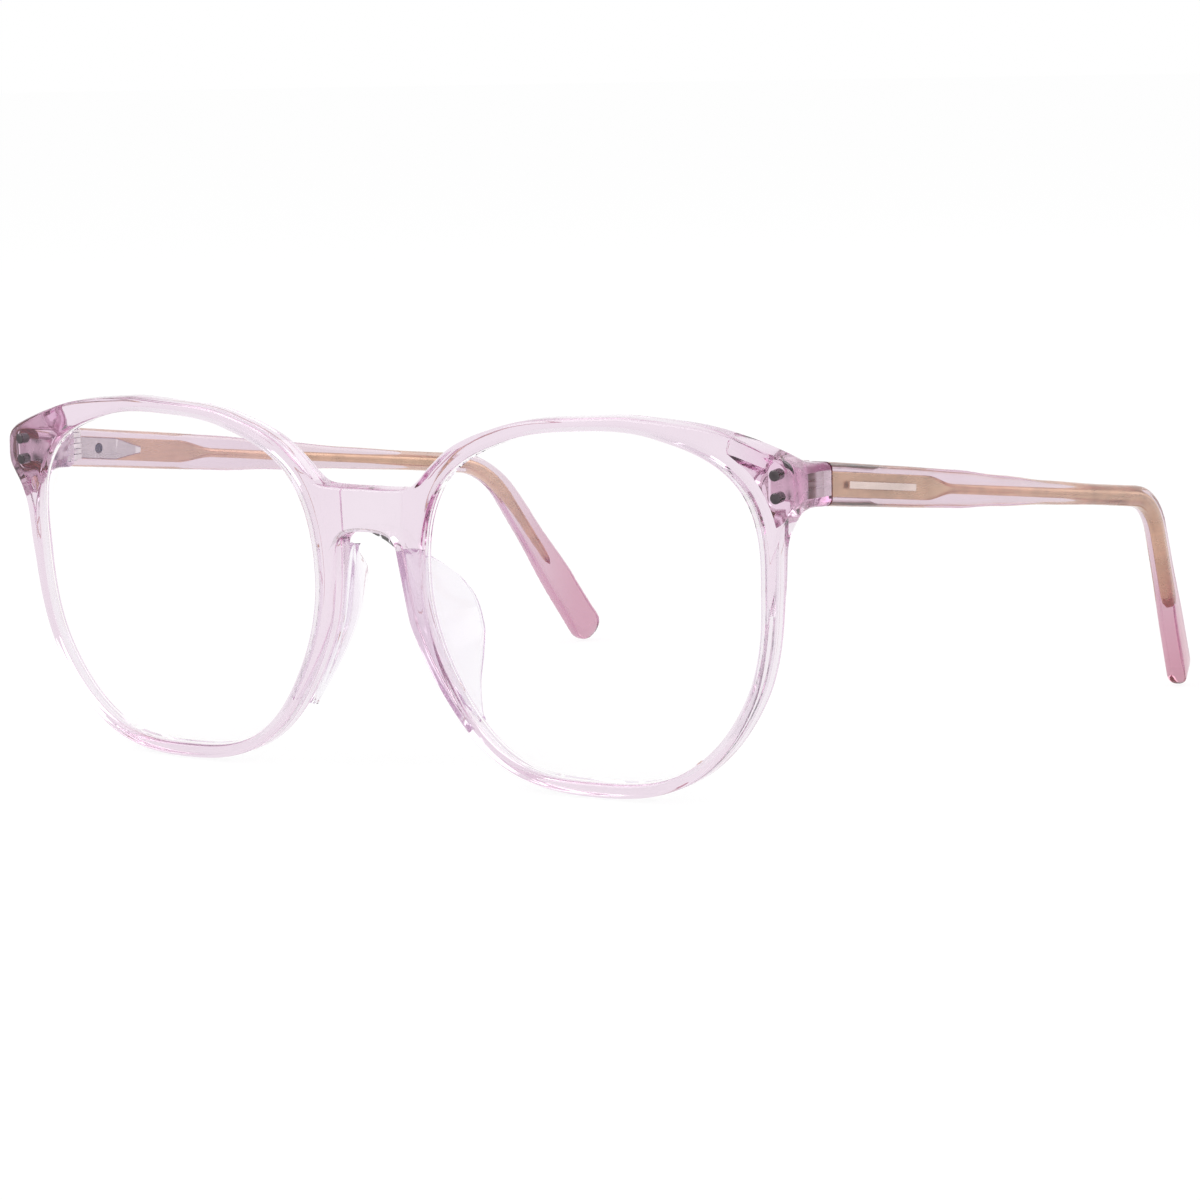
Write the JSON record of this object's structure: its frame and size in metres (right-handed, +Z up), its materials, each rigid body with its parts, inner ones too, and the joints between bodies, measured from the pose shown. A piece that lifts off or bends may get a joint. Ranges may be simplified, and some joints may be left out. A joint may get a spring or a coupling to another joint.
{
  "type": "blue light glasses",
  "caption": "Full-rim rounded-square glasses in clear pink acetate with plano lenses, glued clear nose pads and folding temples on knuckle hinges.",
  "frame": {"origin": "on the table under the middle of the whole part's box, with the glasses standing open on their rims and temple tips", "axes": "+X to the wearer's left, +Y from the front towards the temple tips, +Z up"},
  "size_m": [0.1374, 0.1378, 0.0518],
  "materials": {
    "acetate": "polished clear pink acetate",
    "lens": "clear lens with a faint blue-violet coating",
    "clear_pad": "clear polished pad",
    "core_metal": "satin copper-gold core wire",
    "hinge_steel": "satin",
    "strip_metal": "pale brushed metal",
    "gunmetal": "dark polished"
  },
  "bodies": {
    "front": {"front_frame": "acetate", "left_lens": "lens", "left_nose_pad": "clear_pad", "left_hinge_front_leaf": "hinge_steel", "left_hinge_screw": "hinge_steel", "left_upper_rivet": "gunmetal", "left_lower_rivet": "gunmetal", "right_lens": "lens", "right_nose_pad": "clear_pad", "right_hinge_front_leaf": "hinge_steel", "right_hinge_screw": "hinge_steel", "right_upper_rivet": "gunmetal", "right_lower_rivet": "gunmetal"},
    "left_temple_arm": {"left_temple": "acetate", "left_core_wire": "core_metal", "left_hinge_temple_leaf": "hinge_steel", "left_temple_inlay": "strip_metal", "left_leaf_rivet": "gunmetal"},
    "right_temple_arm": {"right_temple": "acetate", "right_core_wire": "core_metal", "right_hinge_temple_leaf": "hinge_steel", "right_temple_inlay": "strip_metal", "right_leaf_rivet": "gunmetal"}
  },
  "joints": [
    {"name": "left_temple_fold", "type": "hinge", "parent": "front", "child": "left_temple_arm", "pos_m": [0.063, -0.05502, 0.04305], "axis": [0, 0, 1], "range_deg": [0, 86]},
    {"name": "right_temple_fold", "type": "hinge", "parent": "front", "child": "right_temple_arm", "pos_m": [-0.063, -0.05502, 0.04305], "axis": [0, 0, -1], "range_deg": [0, 79]}
  ]
}
